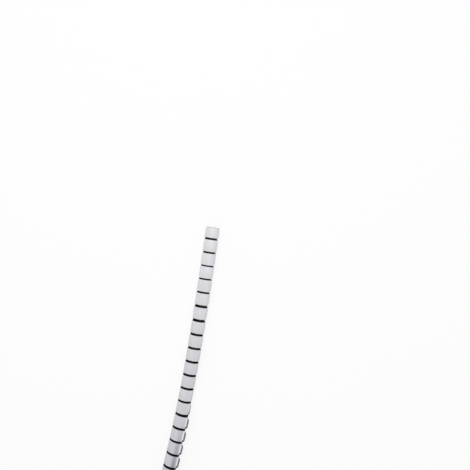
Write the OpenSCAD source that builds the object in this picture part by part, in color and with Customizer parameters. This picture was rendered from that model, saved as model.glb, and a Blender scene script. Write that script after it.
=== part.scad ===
// Slit cable sleeve, one plastic extrusion, lying on a flat surface with its natural gentle bend.
// A row of C-shaped rings, parted by cross slits, hangs on one spine that runs the whole length.
// Each ring closes on itself: a rounded outer flap laps over a thinned inner tip.
// +X runs from the mouth to the far end, +Z is up, and the outer flaps face up and towards +Y.

/* [Rings] */
// Number of rings along the sleeve
ring_count = 20; // [6:1:40]
// Distance from one ring to the next, along the sleeve
pitch = 18; // [12:0.5:30]
// Width of a cross slit
slit_w = 2.8; // [1:0.1:4]
// Length cut off the mouth's ring where the sleeve was cut to length
mouth_trim = 2.4; // [0:0.1:5]

/* [Section] */
// Diameter of the round passage
bore_d = 16; // [12:0.5:40]
// Thickness of the wall
wall = 0.9; // [0.6:0.05:1.6]
// Angle of each ring's true circle, from the root of the outer flap to the end of the inner tip
circle_deg = 276; // [272:1:290]
// Angle over which the outer flap laps the inner tip
lap_deg = 30; // [15:1:45]
// Gap between the outer flap and the inner tip
lap_gap = 0.15; // [0.1:0.05:0.5]
// Thickness of the outer flap at its free edge
flap_edge_t = 0.7; // [0.4:0.05:1]
// Thickness of the inner tip at its end
tip_t = 0.5; // [0.3:0.05:0.8]
// Angle over which the inner tip thins
taper_deg = 50; // [30:1:70]
// Radius of the corners of the flap and of the tip
corner_r = 4; // [1:0.1:5]

/* [Spine] */
// Width of the spine between the round ends of a slit
spine_w = 6; // [4:0.5:10]
// Angle from the outer flap's free edge back round to the middle of the spine
spine_deg = 150; // [130:1:180]
// How far the spine's bridges lie off the ring's inner face, in the wall
bridge_in_inset = 0.2; // [0.2:0.05:0.3]
// How far they lie off the ring's outer face
bridge_out_inset = 0.1; // [0.05:0.05:0.2]
// How far a bridge runs into the ring at each end
bridge_bite = 1.5; // [0.5:0.1:3]

/* [Lie] */
// Angle by which the sleeve turns sideways from the mouth to the far end
bend_deg = 7; // [0:0.5:15]
// Angle of the flap's free edge from straight up at the mouth, towards +Y
edge_at_mouth = 76; // [40:1:130]
// The same angle at the far end
edge_at_far_end = 64; // [40:1:130]
// How far the flaps stand open at the far end, at their free edges
far_flap_lift = 2.8; // [0:0.1:4]
// Where the sleeve starts to twist and its flaps start to open, as a share of its rings
twist_from = 0.65; // [0:0.05:0.65]
// Where both stop
twist_to = 0.75; // [0.7:0.05:1]

/* [Hidden] */
$fn = 96;

bore_r = bore_d / 2;
outer_r = bore_r + wall;
mid_r = bore_r + wall / 2;
ring_l = pitch - slit_w;
last_ring = ring_count - 1;

// Angles about a ring's axis, from the flap's free edge: the flap's root, and the end of the inner tip.
flap_deg = 360 - circle_deg + lap_deg;
tip_end_deg = flap_deg + circle_deg;
// How far the flap runs on from its root inside the true circle's wall, and how far it is kept off
// that wall's inner face there.
root_lap_deg = 6;
root_inset = 0.03;
// An open flap stands off less over the end of the tip than at its free edge.
lift_share = (flap_deg - lap_deg) / flap_deg;

// A slit's round end is cut a little wide, so that it meets the ring's face at a clean angle.
slit_end_r = slit_w / 2 * 1.04;
// The corners' cylinders stand a little too near the faces that they join, for the same reason.
corner_in = corner_r * cos(5);
// Reach of the cutting shapes beyond the sleeve's own faces.
over = 1;
far = 3 * outer_r;

function along(angle) = [cos(angle), sin(angle), 0];
function degrees_at(width, radius) = width / radius * 180 / PI;
function smooth(t) = let (c = min(max(t, 0), 1)) c * c * (3 - 2 * c);

// Arc that leads from radius r0 at one angle to radius r1 after a sweep, sloping evenly like a spiral.
// It crosses the circle that it starts on at the slope's angle. The result is [radius, centre].
function slope(r0, r1, sweep) = atan((r0 - r1) / (r0 * sweep * PI / 180));
function spiral_r(r0, r1, sweep, tilt) = (r0 * r0 - 2 * r0 * r1 * cos(sweep) + r1 * r1)
    / (2 * (r0 * cos(tilt) - r1 * cos(sweep - tilt)));
function spiral(r0, r1, from, sweep) = let (
    tilt = slope(r0, r1, sweep),
    radius = spiral_r(r0, r1, sweep, tilt)
) [radius, r0 * along(from) - radius * along(from + tilt)];
// Distance from a ring's axis to such an arc in one direction.
function reach(arc, angle) = let (c = arc[1] * along(angle))
    c + sqrt(arc[0] * arc[0] - arc[1] * arc[1] + c * c);

// The flap's inner face clears the end of the tip by the gap and by how far the flap stands open.
// Its outer face starts on the ring's.
function flap_in(lift) = spiral(bore_r + root_inset, bore_r + tip_t + lap_gap + lift * lift_share,
    flap_deg + root_lap_deg, lap_deg - flap_deg - root_lap_deg);
function flap_out(lift) = spiral(outer_r, reach(flap_in(lift), 0) + flap_edge_t,
    flap_deg + root_lap_deg / 2, -flap_deg - root_lap_deg / 2);
// The thinned tip's outer face.
tip_out = spiral(outer_r, bore_r + tip_t, tip_end_deg - taper_deg, taper_deg);
// The ring's own two faces, written the same way.
ring_in = [bore_r, [0, 0, 0]];
ring_out = [outer_r, [0, 0, 0]];

// Heading of the sleeve at ring i, where i may lie between two rings. It turns towards -Y.
function heading(i) = -bend_deg * pow(i / last_ring, 2);
// Middle of ring i on the sleeve's centre line, before the line is squared up to X.
function walked(i) = i == 0 ? [0, 0]
    : walked(i - 1) + pitch * [cos(heading(i - 0.5)), sin(heading(i - 0.5))];
// How much of the twist is done at ring i, the angle of its flap's free edge from straight up, and how
// far that flap stands open.
function twisted(i) = smooth((i / last_ring - twist_from) / (twist_to - twist_from));
function edge_angle(i) = edge_at_mouth + (edge_at_far_end - edge_at_mouth) * twisted(i);
function flap_lift(i) = far_flap_lift * twisted(i);

// The line from the first ring to the last is turned on to X, and the sleeve is centred.
chord = walked(last_ring);
chord_deg = atan2(chord[1], chord[0]);
function squared(p) = [
    p[0] * cos(chord_deg) + p[1] * sin(chord_deg),
    p[1] * cos(chord_deg) - p[0] * sin(chord_deg)
];
squared_y = [for (i = [0:last_ring]) squared(walked(i))[1]];
centre = [(squared(chord)[0] + mouth_trim) / 2, (min(squared_y) + max(squared_y)) / 2];
// Middle of ring i in the part's frame. A half step gives the middle of a slit.
function place_of(i) = (squared(walked(floor(i))) + squared(walked(ceil(i)))) / 2 - centre;

// Carries what is drawn round the Z axis to step i of the sleeve, with its X axis on the flap's edge.
module at_step(i) {
    translate([place_of(i)[0], place_of(i)[1], outer_r])
        rotate([0, 0, heading(i) - chord_deg])
            rotate([90, 0, 90])
                rotate([0, 0, 90 - edge_angle(i)])
                    children();
}

module sector(from, sweep) {
    steps = ceil(sweep / 30);
    polygon([[0, 0], for (k = [0:steps]) far * [cos(from + sweep * k / steps), sin(from + sweep * k / steps)]]);
}

module disc(arc) {
    translate(arc[1])
        circle(r = arc[0]);
}

// Flat wall between two arcs, cut to a sector.
module arc_wall(from, sweep, inner, outer) {
    intersection() {
        sector(from, sweep);
        difference() {
            disc(outer);
            disc(inner);
        }
    }
}

// What rounds the corners of a wall that starts at the XZ plane and runs towards +Y, at its near end,
// its far end or both.
module corner_cuts(from_z, length, ends) {
    for (end = ends)
        translate([0, corner_in, from_z + end * length])
            mirror([0, 0, end])
                translate([0, 0, corner_in])
                    difference() {
                        translate([bore_r - over, -corner_r - over, -corner_r - over])
                            cube([far, corner_r + over, corner_r + over]);
                        rotate([0, 90, 0])
                            cylinder(r = corner_r, h = far);
                    }
}

// The true circle of a ring with its thinned inner tip.
module ring_body(from_z, length, ends) {
    difference() {
        translate([0, 0, from_z])
            linear_extrude(height = length)
                difference() {
                    arc_wall(flap_deg, circle_deg, ring_in, ring_out);
                    difference() {
                        sector(tip_end_deg - 1.2 * taper_deg, 1.4 * taper_deg);
                        disc(tip_out);
                    }
                }
        rotate([0, 0, tip_end_deg])
            mirror([0, 1, 0])
                corner_cuts(from_z, length, ends);
    }
}

// The outer flap, from its free edge on the X axis back to its root.
module flap(from_z, length, ends, lift) {
    difference() {
        translate([0, 0, from_z])
            linear_extrude(height = length)
                arc_wall(0, flap_deg + root_lap_deg, flap_in(lift), flap_out(lift));
        corner_cuts(from_z, length, ends);
    }
}

// One C-shaped ring about the Z axis, centred on its own length, with some of its near end cut off.
// That end is square then.
module ring(trim, lift) {
    ends = trim > 0 ? [1] : [0, 1];
    ring_body(trim - ring_l / 2, ring_l - trim, ends);
    flap(trim - ring_l / 2, ring_l - trim, ends, lift);
}

// The spine's bridge over one slit. Its sides are the round ends of the slit.
module bridge() {
    half_deg = degrees_at(spine_w / 2 + slit_end_r, mid_r);
    bridge_l = slit_w + 2 * bridge_bite;
    rotate([0, 0, -spine_deg])
        difference() {
            translate([0, 0, -bridge_l / 2])
                linear_extrude(height = bridge_l)
                    arc_wall(-half_deg, 2 * half_deg, ring_in + [bridge_in_inset, [0, 0, 0]],
                        ring_out - [bridge_out_inset, [0, 0, 0]]);
            for (side = [-1, 1])
                rotate([0, 0, side * half_deg])
                    translate([bore_r - over, 0, 0])
                        rotate([0, 90, 0])
                            cylinder(r = slit_end_r, h = wall + 2 * over);
        }
}

module sleeve() {
    color("gainsboro")
        union() {
            for (i = [0:last_ring])
                at_step(i)
                    ring(i == 0 ? mouth_trim : 0, flap_lift(i));
            for (i = [0:last_ring - 1])
                at_step(i + 0.5)
                    bridge();
        }
}

sleeve();
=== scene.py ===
"""Slit cable sleeve: one milky plastic extrusion that lies on a pale floor, seen from above.

The sleeve is made as the flat comb that it would be if it were unrolled. That comb gets its round
corners, its wall and its softened rims while it is flat. Then it is rolled up, ring by ring.
Lengths are in millimetres until the sleeve is rolled up, and in metres from there on.
"""

import math
import random

import bmesh
import bpy
from mathutils import Matrix, Vector


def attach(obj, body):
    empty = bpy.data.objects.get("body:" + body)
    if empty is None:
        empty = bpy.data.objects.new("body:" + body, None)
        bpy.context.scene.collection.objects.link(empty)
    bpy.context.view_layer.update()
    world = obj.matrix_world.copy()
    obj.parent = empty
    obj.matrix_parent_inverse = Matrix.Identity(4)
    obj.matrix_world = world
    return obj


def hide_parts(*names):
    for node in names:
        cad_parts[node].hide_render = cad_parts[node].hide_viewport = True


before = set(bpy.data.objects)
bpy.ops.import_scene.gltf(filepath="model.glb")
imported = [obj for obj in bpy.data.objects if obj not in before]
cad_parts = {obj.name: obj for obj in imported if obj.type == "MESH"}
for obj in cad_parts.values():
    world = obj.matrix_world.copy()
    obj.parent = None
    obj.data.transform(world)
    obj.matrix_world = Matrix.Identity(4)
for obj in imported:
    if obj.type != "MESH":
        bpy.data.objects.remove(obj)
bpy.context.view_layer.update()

# The sleeve's sizes, in mm and degrees, as its solid has them.
RINGS = 20
PITCH = 18.0
SLIT = 2.8
MOUTH_TRIM = 2.4
BORE_R = 8.0
WALL = 0.9
CIRCLE_DEG = 276.0
LAP_DEG = 30.0
LAP_GAP = 0.15
FLAP_EDGE_T = 0.7
TIP_T = 0.5
TAPER_DEG = 50.0
CORNER_R = 4.0
SPINE_W = 6.0
SPINE_DEG = 150.0
BEND_DEG = 7.0
EDGE_AT_MOUTH = 76.0
EDGE_AT_FAR_END = 64.0
FAR_FLAP_LIFT = 2.8
TWIST_FROM = 0.65
TWIST_TO = 0.75

OUTER_R = BORE_R + WALL
MID_R = BORE_R + WALL / 2
RING_L = PITCH - SLIT
LAST = RINGS - 1
FLAP_DEG = 360 - CIRCLE_DEG + LAP_DEG
WHOLE_DEG = FLAP_DEG + CIRCLE_DEG
ROOT_LAP_DEG = 6.0
ROOT_INSET = 0.03

# The sleeve gives at its slits, so its rings lie this far towards the far end of their even places.
RING_SHIFTS = (0.9, 0.8, 0.4, -0.4, -1.0, -1.3, -0.6, 0.3, 0.7, 0.8)
RING_SHIFTS += (0.7, 0.7, 0.6, 0.2, 0.2, 0.2, -0.1, -0.2, 0, 0)
# How much further a flap may stand off at its free edge, and how much further the open ones do.
SLACK = 0.2
OPEN_SLACK = 0.95
# How far the free edge of an open flap leans to the far end, and the angle over which it does.
FLAP_LEAN = 1.8
LEAN_DEG = 27.0

# How the sheet is worked.
COLUMN_DEG = 3.0
COLUMN_GAP = 0.15
CORNER_STEPS = 6
SLIT_END_STEPS = 10
RIM_SOFTNESS = 0.12
SHARP_DEG = 25.0
SNAP = 1e-3
SEED = 7
MM = 0.001


# ---- The ring's snail-shaped section ----


def along(degrees):
    return Vector((math.cos(math.radians(degrees)), math.sin(math.radians(degrees))))


def spiral(r0, r1, start, sweep):
    """Circle that leads from radius r0 at one angle to r1 after a sweep, as (radius, centre)."""
    tilt = math.degrees(math.atan((r0 - r1) / (r0 * math.radians(sweep))))
    turn, lean = math.radians(sweep), math.radians(tilt)
    square = r0 * r0 - 2 * r0 * r1 * math.cos(turn) + r1 * r1
    radius = square / (2 * (r0 * math.cos(lean) - r1 * math.cos(turn - lean)))
    return radius, r0 * along(start) - radius * along(start + tilt)


def reach(arc, degrees):
    """Distance from the ring's axis to such a circle."""
    radius, centre = arc
    forward = centre.dot(along(degrees))
    return forward + math.sqrt(radius * radius - centre.dot(centre) + forward * forward)


def smooth(t):
    t = min(max(t, 0.0), 1.0)
    return t * t * (3 - 2 * t)


root = FLAP_DEG + ROOT_LAP_DEG
tip_outside = spiral(OUTER_R, BORE_R + TIP_T, WHOLE_DEG - TAPER_DEG, TAPER_DEG)


def flap_faces(lift):
    """Inner and outer face of a flap that stands open by a lift at its free edge."""
    clear = BORE_R + TIP_T + LAP_GAP + lift * (1 - LAP_DEG / FLAP_DEG)
    inside = spiral(BORE_R + ROOT_INSET, clear, root, LAP_DEG - root)
    edge = reach(inside, 0) + FLAP_EDGE_T
    return inside, spiral(OUTER_R, edge, root - ROOT_LAP_DEG / 2, ROOT_LAP_DEG / 2 - root)


def wall_at(degrees, faces):
    """Inner and outer radius of the wall, at an angle from the flap's free edge to the tip."""
    inner, outer = BORE_R, OUTER_R
    if degrees < root:
        blend = smooth((root - degrees) / ROOT_LAP_DEG)
        inner += (reach(faces[0], degrees) - BORE_R) * blend
    if degrees < root - ROOT_LAP_DEG / 2:
        outer = reach(faces[1], degrees)
    if degrees > WHOLE_DEG - TAPER_DEG:
        outer = reach(tip_outside, degrees)
    return inner, outer


# ---- The sleeve's lie ----


def heading(step):
    return -BEND_DEG * (step / LAST) ** 2


def centre_line():
    """Middle of each ring on the floor, squared up to X and centred, and the line's own angle."""
    spots = [Vector((0, 0))]
    for ring in range(LAST):
        spots.append(spots[-1] + PITCH * along(heading(ring + 0.5)))
    lean = math.degrees(math.atan2(spots[-1].y, spots[-1].x))
    square_up = Matrix.Rotation(-math.radians(lean), 2)
    spots = [square_up @ spot for spot in spots]
    sides = [spot.y for spot in spots]
    middle = Vector(((spots[-1].x + MOUTH_TRIM) / 2, (min(sides) + max(sides)) / 2))
    return [spot - middle for spot in spots], lean


spots, lean = centre_line()


def twisted(ring):
    return smooth((ring / LAST - TWIST_FROM) / (TWIST_TO - TWIST_FROM))


def edge_angle(ring):
    return EDGE_AT_MOUTH + (EDGE_AT_FAR_END - EDGE_AT_MOUTH) * twisted(ring)


def on_ring(ring, off):
    """Centre, heading and flap angle at a distance from one ring's middle."""
    turn = heading(ring) - lean
    return spots[ring] + (off + RING_SHIFTS[ring]) * along(turn), turn, edge_angle(ring)


def station(length):
    """The same at a length from the first ring's middle, also where a neck joins two rings."""
    ring = min(max(round(length / PITCH), 0), LAST)
    off = length - ring * PITCH
    if abs(off) <= RING_L / 2 + SNAP:
        return on_ring(ring, off)
    near = ring if off > 0 else ring - 1
    share = (length - near * PITCH - RING_L / 2) / SLIT
    start, stop = on_ring(near, RING_L / 2), on_ring(near + 1, -RING_L / 2)
    turn, flap = (a + (b - a) * share for a, b in zip(start[1:], stop[1:]))
    return start[0].lerp(stop[0], share), turn, flap


# ---- The flat comb ----


def tab(bm, start, stop):
    """One ring as a flat rectangle. Y runs round the ring, as mm of arc.

    Its corners are round, but for the two that were cut off with the first ring's near end.
    """
    width = math.radians(WHOLE_DEG) * MID_R
    whole = stop - start > RING_L - SNAP
    made = bmesh.ops.create_grid(bm, x_segments=1, y_segments=1, size=0.5)
    corners = made["verts"]
    bmesh.ops.scale(bm, verts=corners, vec=(stop - start, width, 1))
    bmesh.ops.translate(bm, verts=corners, vec=((start + stop) / 2, width / 2, 0))
    bmesh.ops.bevel(
        bm,
        geom=[v for v in corners if whole or v.co.x > 0],
        offset=CORNER_R,
        offset_type="OFFSET",
        segments=CORNER_STEPS,
        profile=0.5,
        affect="VERTICES",
        material=-1,
    )


def cut_across(bm, point, normal):
    bmesh.ops.bisect_plane(
        bm, geom=bm.verts[:] + bm.edges[:] + bm.faces[:], dist=1e-5, plane_co=point, plane_no=normal
    )


def necks(bm):
    """Joins each tab to the next by the spine, whose sides are the slits' round ends."""
    middle = math.radians(360 - SPINE_DEG) * MID_R
    half = SPINE_W / 2 + SLIT / 2
    for ring in range(LAST):
        start = ring * PITCH + RING_L / 2
        front = [
            edge
            for edge in bm.edges
            if edge.is_boundary
            and all(abs(v.co.x - start) < SNAP for v in edge.verts)
            and all(abs(v.co.y - middle) < half + SNAP for v in edge.verts)
        ]
        at, wide = start, half
        for step in range(1, SLIT_END_STEPS + 1):
            here = start + SLIT * (1 - math.cos(math.pi * step / SLIT_END_STEPS)) / 2
            grown = bmesh.ops.extrude_edge_only(bm, edges=front)["geom"]
            moved = [g for g in grown if isinstance(g, bmesh.types.BMVert)]
            front = [g for g in grown if isinstance(g, bmesh.types.BMEdge)]
            bmesh.ops.translate(bm, verts=moved, vec=(here - at, 0, 0))
            at = here
            bow = math.sqrt(max(0.0, (SLIT / 2) ** 2 - (here - start - SLIT / 2) ** 2))
            for v in moved:
                v.co.y = middle + (v.co.y - middle) * (half - bow) / wide
            wide = half - bow
    bmesh.ops.remove_doubles(bm, verts=bm.verts[:], dist=SNAP)


def flat_comb():
    bm = bmesh.new()
    for ring in range(RINGS):
        trim = MOUTH_TRIM if ring == 0 else 0
        tab(bm, ring * PITCH - RING_L / 2 + trim, ring * PITCH + RING_L / 2)
    middle = math.radians(360 - SPINE_DEG) * MID_R
    half = SPINE_W / 2 + SLIT / 2
    cuts = {math.radians(COLUMN_DEG * k) * MID_R for k in range(1, int(WHOLE_DEG / COLUMN_DEG))}
    cuts = {cut for cut in cuts if abs(abs(cut - middle) - half) > COLUMN_GAP}
    for cut in sorted(cuts | {middle - half, middle + half}):
        cut_across(bm, (0, cut, 0), (0, 1, 0))
    necks(bm)
    return bm


def thicken(bm):
    """Gives the comb its wall, with the rims softened."""
    bmesh.ops.recalc_face_normals(bm, faces=bm.faces[:])
    if bm.faces[0].normal.z < 0:
        bmesh.ops.reverse_faces(bm, faces=bm.faces[:])
    bmesh.ops.solidify(bm, geom=bm.faces[:], thickness=WALL)
    lowest = min(v.co.z for v in bm.verts)
    bmesh.ops.translate(bm, verts=bm.verts[:], vec=(0, 0, -lowest))
    rims = [
        edge
        for edge in bm.edges
        if len(edge.link_faces) == 2
        and (abs(edge.link_faces[0].normal.z) > 0.5) != (abs(edge.link_faces[1].normal.z) > 0.5)
    ]
    bmesh.ops.bevel(
        bm,
        geom=rims,
        offset=RIM_SOFTNESS,
        offset_type="OFFSET",
        segments=2,
        profile=0.5,
        affect="EDGES",
        clamp_overlap=True,
        material=-1,
    )


def roll_up(bm):
    """Rolls the flat comb into rings and lays it along the sleeve's bend.

    The flat places go into the UV map. The inner faces and the cut faces are marked for the finish.
    """
    flat = bm.loops.layers.uv.new("flat")
    inner_face = bm.verts.layers.float.new("inner_face")
    for face in bm.faces:
        for loop in face.loops:
            loop[flat].uv = loop.vert.co.xy * MM
    chance = random.Random(SEED)
    open_lift = FAR_FLAP_LIFT + OPEN_SLACK
    lifts = [open_lift * twisted(ring) + chance.uniform(0.0, SLACK) for ring in range(RINGS)]
    faces = [flap_faces(lift) for lift in lifts]
    for v in bm.verts:
        length, arc, height = v.co
        v[inner_face] = 1.0 if height < WALL - RIM_SOFTNESS / 2 else 0.0
        degrees = math.degrees(arc / MID_R)
        ring = min(max(round(length / PITCH), 0), LAST)
        inner, outer = wall_at(degrees, faces[ring])
        radius = inner + (outer - inner) * height / WALL
        lean_by = FLAP_LEAN * twisted(ring) * max(0.0, 1 - degrees / LEAN_DEG)
        centre, turn, flap = station(length)
        centre = centre + lean_by * along(turn)
        up = radius * along(flap - degrees)
        side = along(turn + 90)
        v.co = Vector((*(centre + up.y * side), OUTER_R + up.x)) * MM


def make_sleeve():
    bm = flat_comb()
    thicken(bm)
    roll_up(bm)
    mesh = bpy.data.meshes.new("sleeve_rings")
    bm.to_mesh(mesh)
    bm.free()
    mesh.shade_smooth()
    mesh.set_sharp_from_angle(angle=math.radians(SHARP_DEG))
    piece = bpy.data.objects.new("sleeve_rings", mesh)
    bpy.context.collection.objects.link(piece)
    return piece


# ---- Finishes ----

# The plastic's colours and the light and shade painted on it, as the screen would show them in even
# light.
MILKY, MILKIER = (212, 211, 215), (226, 226, 229)
FAR_GREY = (186, 183, 193)
LAP_SHADE = (146, 140, 156)
LIT_FLAP = (246, 246, 249)
FLAP_RIM_SHADE = (100, 97, 104)
TIP_SHADE = (60, 58, 64)
SLIT_EDGE_SHADE = (40, 38, 43)
PASSAGE_SHADE = (10, 10, 12)
# Where each of them sets in and where it is full, or where it is gone again and where it starts to go.
# In metres along the sleeve, from its first ring's middle.
FAR_GREY_RUN = (0.05, 0.34)
LAP_SHADE_RUN = (0.243, 0.31)
OPEN_RUN = (0.225, 0.24)
EDGE_SHADE_RUN, EDGE_SHADE_STOP = (0.14, 0.17), (0.348, 0.345)
PASSAGE_SHADE_RUN, PASSAGE_SHADE_STOP = (-0.004, 0.008), (0.35, 0.338)
# The same in degrees round a ring, from the flap's free edge.
LAP_SHADE_DEG, LAP_SHADE_STOP = (30, 38), (68, 50)
LIT_DEG = (28, 24)
RIM_SHADE_DEG = (28, 22)
TIP_DEG = (WHOLE_DEG - 44, WHOLE_DEG - 36)
# The same in metres from the flap's rim, and from a ring's middle.
RIM_SHADE_GAP = (0.0029, 0.0022)
CUT_EDGE = ((RING_L / 2 - 0.45) * MM, (RING_L / 2 - 0.15) * MM)

# The floor's own colour, the shadow painted on it under the sleeve, and how much of its paleness the
# camera sees in place of the light on it.
FLOOR = (248, 248, 249)
FLOOR_SHADOW = (90, 90, 92)
SEEN_FLOOR = (254, 254, 254)
SEEN_SHARE = 0.82
# Where the painted shadow strip under the sleeve starts and is full, in metres off its centre line and
# along it.
SHADOW_STRIP_OFF = (0.0088, 0.0068)
SHADOW_STRIP_RUN, SHADOW_STRIP_STOP = (-0.176, -0.168), (0.166, 0.15)


def paint(colour):
    """A screen colour, three numbers from 0 to 255, as the shader's linear colour."""

    def linear(value):
        value /= 255
        return value / 12.92 if value <= 0.04045 else ((value + 0.055) / 1.055) ** 2.4

    return (*map(linear, colour), 1.0)


class Wire:
    """A number from one of a finish's nodes. Sums with it add Math nodes."""

    def __init__(self, finish, socket):
        self.finish, self.socket = finish, socket

    def sum(self, operation, *terms, clamp=False):
        settings = {"operation": operation, "use_clamp": clamp}
        return self.finish.node("ShaderNodeMath", settings, dict(enumerate(terms)))

    def __add__(self, other):
        return self.sum("ADD", self, other)

    def __sub__(self, other):
        return self.sum("SUBTRACT", self, other)

    def __rsub__(self, other):
        return self.sum("SUBTRACT", other, self)

    def __mul__(self, other):
        return self.sum("MULTIPLY", self, other)

    __radd__ = __add__
    __rmul__ = __mul__

    def between(self, low, high):
        """0 at low, 1 at high and held beyond them."""
        return self.sum("MULTIPLY", self - low, 1 / (high - low), clamp=True)


class Finish:
    """A material and the nodes that it is made of."""

    def __init__(self, name):
        self.material = bpy.data.materials.new(name)
        self.material.use_nodes = True
        self.tree = self.material.node_tree
        self.shader = self.tree.nodes["Principled BSDF"]

    def node(self, kind, settings=None, inputs=None, output=0):
        made = self.tree.nodes.new(kind)
        for name, value in (settings or {}).items():
            setattr(made, name, value)
        for name, value in (inputs or {}).items():
            self.feed(made.inputs[name], value)
        return Wire(self, made.outputs[output])

    def feed(self, socket, value):
        if isinstance(value, Wire):
            self.tree.links.new(value.socket, socket)
        else:
            socket.default_value = value

    def noise(self, place, scale, detail=3.0, stretch=(1, 1, 1)):
        spread = self.node("ShaderNodeMapping", inputs={"Vector": place, "Scale": stretch})
        inputs = {"Vector": spread, "Scale": scale, "Detail": detail}
        return self.node("ShaderNodeTexNoise", inputs=inputs)

    def mix(self, share, first, second):
        settings = {"data_type": "RGBA"}
        return self.node("ShaderNodeMix", settings, {0: share, 6: first, 7: second}, output=2)

    def set(self, **sockets):
        for name, value in sockets.items():
            self.feed(self.shader.inputs[name.replace("_", " ")], value)


def off_middle(run):
    """How far a place lies beyond its ring's middle, in metres."""
    rings = run * (1 / (PITCH * MM))
    return run - rings.sum("ROUND", rings) * (PITCH * MM)


def rim_gap(run, round_deg):
    """Distance in metres from a flap's free edge and the round corner at its far side."""
    past_straight = off_middle(run) - (RING_L / 2 - CORNER_R) * MM
    past_straight = past_straight.sum("MAXIMUM", past_straight, 0.0)
    from_edge = round_deg * math.radians(MID_R * MM)
    before_corner = from_edge.sum("MAXIMUM", CORNER_R * MM - from_edge, 0.0)
    squares = past_straight * past_straight + before_corner * before_corner
    return CORNER_R * MM - squares.sum("SQRT", squares)


def milky_plastic():
    """Natural polyethylene: milky and satin, with fine draw lines along the extrusion."""
    finish = Finish("milky_plastic")
    flat = finish.node("ShaderNodeUVMap", {"uv_map": "flat"})
    run = finish.node("ShaderNodeSeparateXYZ", inputs={"Vector": flat}, output=0)
    arc = finish.node("ShaderNodeSeparateXYZ", inputs={"Vector": flat}, output=1)
    round_deg = arc * math.degrees(1 / (MID_R * MM))
    place = finish.node("ShaderNodeTexCoord", output=3)
    draw_lines = finish.noise(flat, 1.0, 4.0, (12, 900, 1))
    bands = finish.noise(flat, 1.0, 2.0, (5, 160, 1))
    cloud = finish.noise(place, 45.0, 3.0)
    tone = (bands * 0.5 + cloud * 0.35 + draw_lines * 0.15).between(0.35, 0.65)
    colour = finish.mix(tone, paint(MILKY), paint(MILKIER))
    # The colour is painted darker towards the far end, and darker still where the flaps bend open.
    colour = finish.mix(run.between(*FAR_GREY_RUN) * 0.5, colour, paint(FAR_GREY))
    # Painted shade: the lap next to the free edge of the open flaps is painted darker.
    lap_shade = round_deg.between(*LAP_SHADE_DEG) * round_deg.between(*LAP_SHADE_STOP)
    colour = finish.mix(run.between(*LAP_SHADE_RUN) * lap_shade * 0.85, colour, paint(LAP_SHADE))
    # Painted light and shade: the open flaps are painted lighter, with a dark painted shade along
    # their rims. The tips under them are painted dark as shade.
    open_part = run.between(*OPEN_RUN)
    colour = finish.mix(open_part * round_deg.between(*LIT_DEG), colour, paint(LIT_FLAP))
    rim_shade = rim_gap(run, round_deg).between(*RIM_SHADE_GAP) * round_deg.between(*RIM_SHADE_DEG)
    colour = finish.mix(open_part * rim_shade, colour, paint(FLAP_RIM_SHADE))
    colour = finish.mix(open_part * round_deg.between(*TIP_DEG), colour, paint(TIP_SHADE))
    # Painted shade: the slits' edges are painted dark on the greyer rings.
    off = off_middle(run)
    edge = off.sum("ABSOLUTE", off).between(*CUT_EDGE)
    edge_shaded = run.between(*EDGE_SHADE_RUN) * run.between(*EDGE_SHADE_STOP)
    colour = finish.mix(edge * edge_shaded * 0.7, colour, paint(SLIT_EDGE_SHADE))
    # Painted shade: the cut faces and the passage are painted dark, away from the sleeve's ends.
    inner = finish.node("ShaderNodeAttribute", {"attribute_name": "inner_face"}, output=2)
    deep_shade = run.between(*PASSAGE_SHADE_RUN) * run.between(*PASSAGE_SHADE_STOP)
    colour = finish.mix(inner * (deep_shade * 0.9 + 0.08), colour, paint(PASSAGE_SHADE))
    height = draw_lines * 0.7 + finish.noise(place, 900.0, 2.0) * 0.3
    relief = {"Height": height, "Distance": 0.00004, "Strength": 0.5}
    bump = finish.node("ShaderNodeBump", inputs=relief)
    finish.set(
        Base_Color=colour,
        Roughness=draw_lines * 0.12 + 0.34,
        Normal=bump,
        Specular_IOR_Level=0.4,
        Subsurface_Weight=0.12,
        Subsurface_Scale=0.0015,
    )
    return finish.material


def floor_paint():
    """Pale floor that keeps the sleeve's shadow, but shows the camera mostly its own paleness.

    Where the sleeve covers the floor, a dark shadow is painted on it. That painted strip follows the
    sleeve's bend.
    """
    finish = Finish("pale_floor")
    place = finish.node("ShaderNodeTexCoord", output=3)
    across = finish.node("ShaderNodeSeparateXYZ", inputs={"Vector": place}, output=1)
    lengthwise = finish.node("ShaderNodeSeparateXYZ", inputs={"Vector": place}, output=0)
    run = (lengthwise - spots[0].x * MM) * (1 / (spots[-1].x * MM - spots[0].x * MM))
    bow = LAST * PITCH * MM * math.radians(BEND_DEG) / 3
    off = across - (run - run * run * run) * bow - spots[0].y * MM
    # Painted shadow: the floor is painted dark in the strip under the sleeve.
    shadow_strip = off.sum("ABSOLUTE", off).between(*SHADOW_STRIP_OFF)
    shadow_strip = shadow_strip * lengthwise.between(*SHADOW_STRIP_RUN) * lengthwise.between(*SHADOW_STRIP_STOP)
    shade = finish.mix(shadow_strip, paint(FLOOR), paint(FLOOR_SHADOW))
    finish.set(Base_Color=shade, Roughness=0.9, Specular_IOR_Level=0.1)
    pale = finish.node("ShaderNodeEmission", inputs={"Color": paint(SEEN_FLOOR)})
    seen = finish.node("ShaderNodeLightPath")
    own = Wire(finish, finish.shader.outputs[0])
    share = seen * (1.0 - shadow_strip) * SEEN_SHARE
    shown = finish.node("ShaderNodeMixShader", inputs={0: share, 1: own, 2: pale})
    finish.feed(finish.tree.nodes["Material Output"].inputs["Surface"], shown)
    return finish.material


# ---- Camera, light and floor ----

PHOTO_PIXELS = 470
FOCAL_PIXELS = 700.0
CAMERA_PLACE = Vector((-0.23633, 0.0148, 0.90888))
CAMERA_TILT = -4.14
CAMERA_ROLL = 10.72
SENSOR_MM = 36
BACKDROP = (250, 250, 251)
AMBIENT = 0.64
FLOOR_REACH = 8.0


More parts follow.
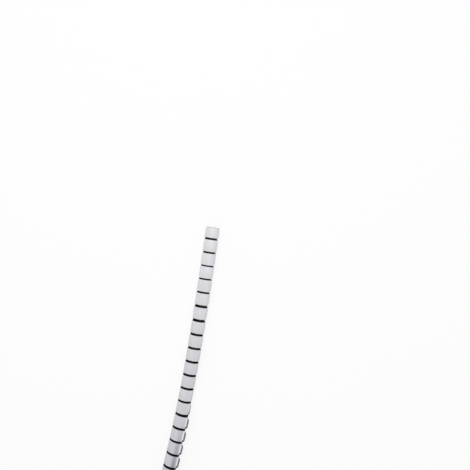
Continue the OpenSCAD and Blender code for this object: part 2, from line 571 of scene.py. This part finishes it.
def put_camera():
    data = bpy.data.cameras.new("camera")
    data.sensor_width = SENSOR_MM
    data.lens = FOCAL_PIXELS * data.sensor_width / PHOTO_PIXELS
    data.clip_start, data.clip_end = 0.01, 50
    camera = bpy.data.objects.new("camera", data)
    bpy.context.collection.objects.link(camera)
    turns = ((CAMERA_ROLL, "Z"), (CAMERA_TILT, "Y"), (90, "Z"))
    camera.matrix_world = Matrix.Translation(CAMERA_PLACE)
    for degrees, axis in turns:
        camera.matrix_world = camera.matrix_world @ Matrix.Rotation(math.radians(degrees), 4, axis)
    bpy.context.scene.camera = camera


def put_lamp(name, place, aim, size, power):
    data = bpy.data.lights.new(name, "AREA")
    data.shape, data.size, data.energy = "DISK", size, power
    lamp = bpy.data.objects.new(name, data)
    bpy.context.collection.objects.link(lamp)
    lamp.location = place
    lamp.rotation_mode = "QUATERNION"
    lamp.rotation_quaternion = (Vector(place) - Vector(aim)).to_track_quat("Z", "Y")


def put_world(level):
    world = bpy.data.worlds.new("studio")
    world.use_nodes = True
    bpy.context.scene.world = world
    nodes, links = world.node_tree.nodes, world.node_tree.links
    light = nodes["Background"]
    light.inputs["Color"].default_value = (1, 1, 1, 1)
    light.inputs["Strength"].default_value = level
    white = nodes.new("ShaderNodeBackground")
    white.inputs["Color"].default_value = paint(BACKDROP)
    seen = nodes.new("ShaderNodeLightPath")
    either = nodes.new("ShaderNodeMixShader")
    links.new(seen.outputs["Is Camera Ray"], either.inputs["Fac"])
    links.new(light.outputs[0], either.inputs[1])
    links.new(white.outputs[0], either.inputs[2])
    links.new(either.outputs[0], nodes["World Output"].inputs["Surface"])


def put_floor(reach_m):
    bm = bmesh.new()
    bmesh.ops.create_grid(bm, x_segments=1, y_segments=1, size=reach_m)
    mesh = bpy.data.meshes.new("floor")
    bm.to_mesh(mesh)
    bm.free()
    floor = bpy.data.objects.new("floor", mesh)
    bpy.context.collection.objects.link(floor)
    mesh.materials.append(floor_paint())


put_camera()
put_world(AMBIENT)
put_lamp("key", place=(-0.62, -0.12, 1.15), aim=(-0.15, 0, 0), size=0.9, power=7.5)
put_floor(FLOOR_REACH)
bpy.context.scene.view_settings.view_transform = "Standard"

sleeve = make_sleeve()
sleeve.data.materials.append(milky_plastic())
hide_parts("sleeve")
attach(sleeve, "root")
